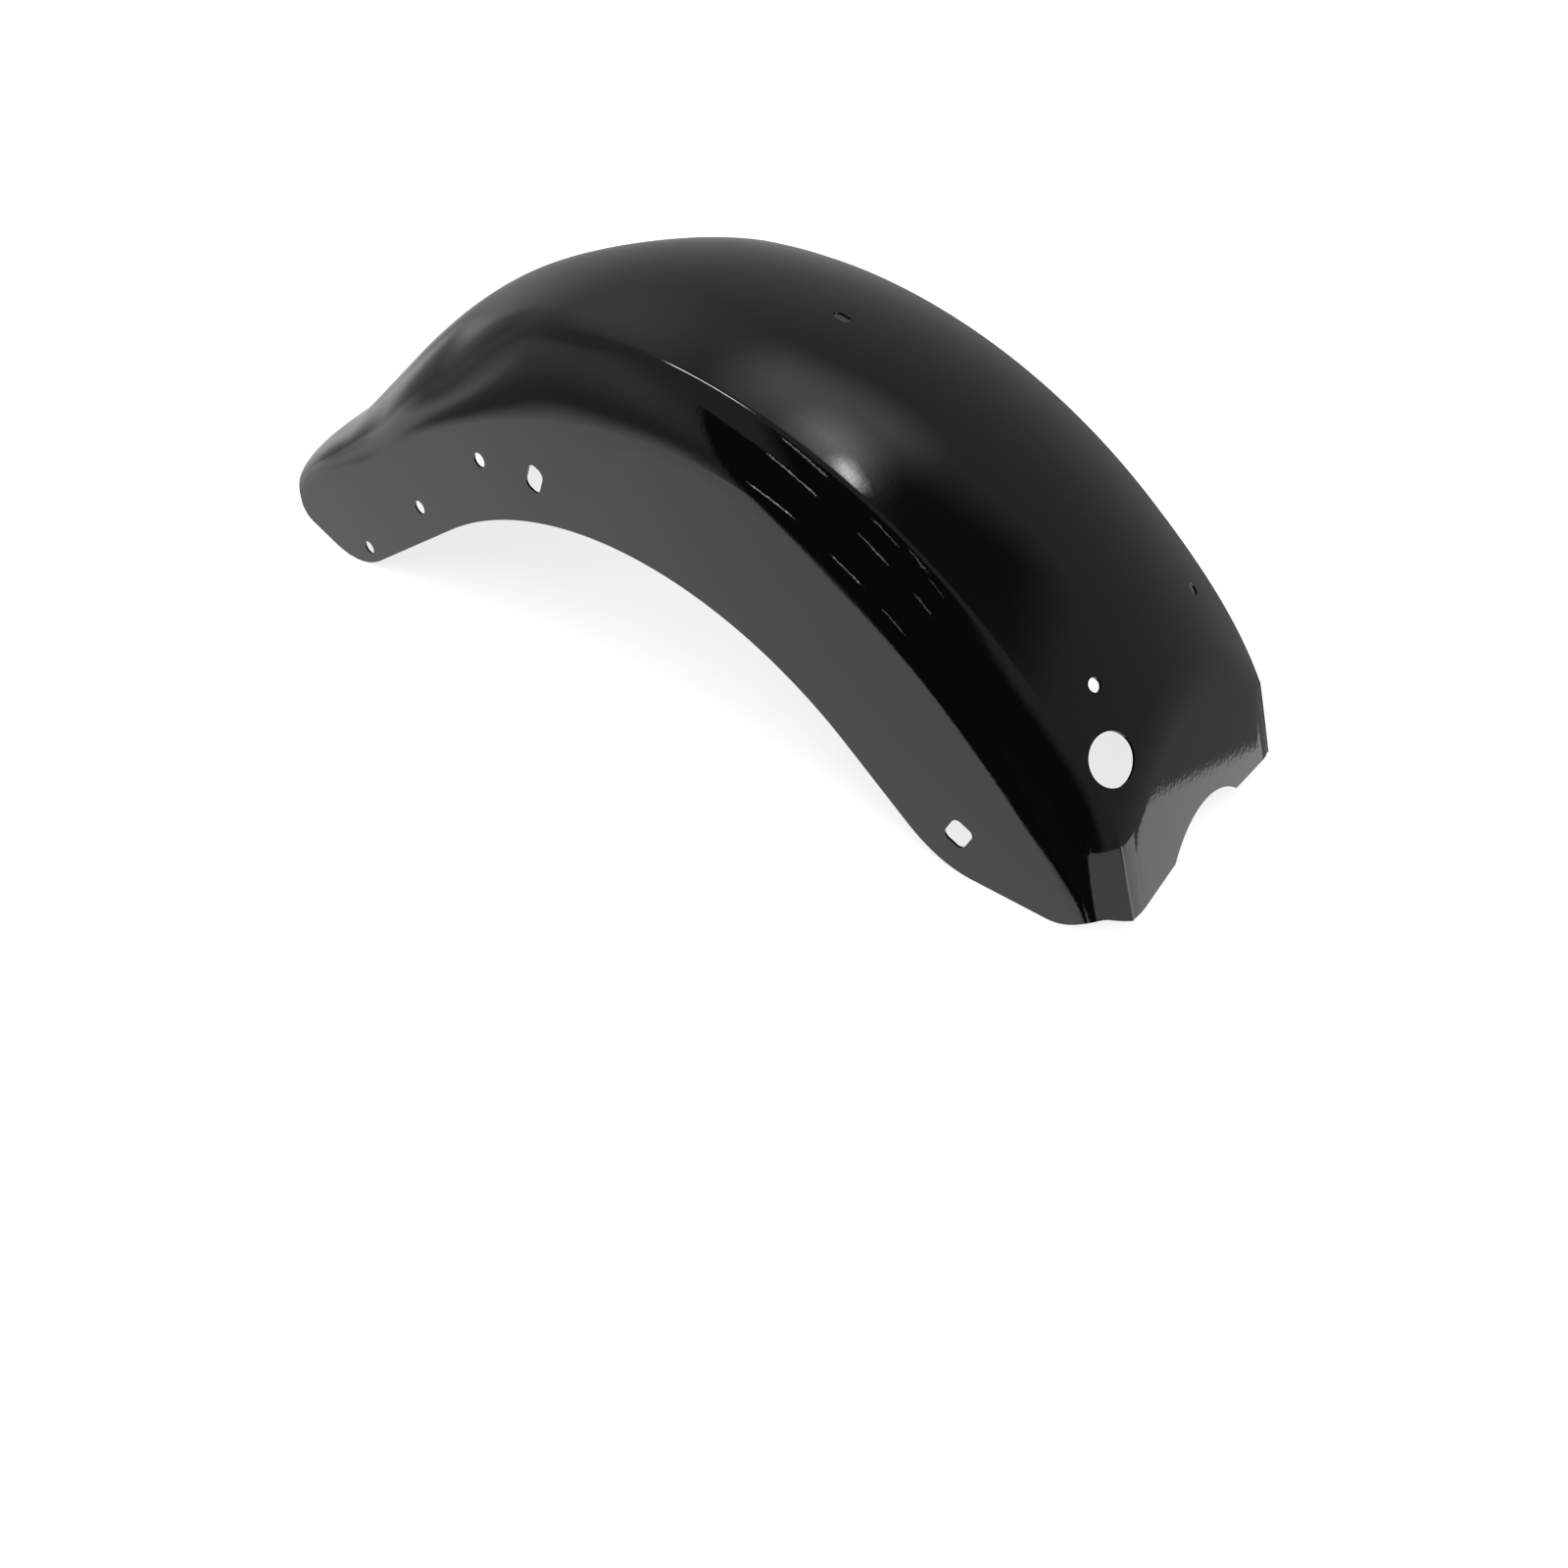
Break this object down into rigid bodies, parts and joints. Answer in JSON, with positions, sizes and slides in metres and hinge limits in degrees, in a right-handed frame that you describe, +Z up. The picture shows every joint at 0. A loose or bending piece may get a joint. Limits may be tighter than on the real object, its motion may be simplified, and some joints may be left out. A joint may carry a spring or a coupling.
{
  "type": "motorcycle rear fender",
  "caption": "Rear fender of a small motorcycle, pressed from one steel sheet: flat side walls, creased shoulders, domed crown, flat tail panel with a round cut-out, bracket and lead holes.",
  "frame": {"origin": "on the ground under the middle of the bounding box, with the fender standing on its front lobes and tail foot", "axes": "+X toward the tail, +Y toward the rider's right, +Z up"},
  "size_m": [0.6917, 0.2, 0.2529],
  "materials": {
    "black_paint": "gloss black"
  },
  "bodies": {
    "root": {"fender": "black_paint"}
  },
  "joints": []
}
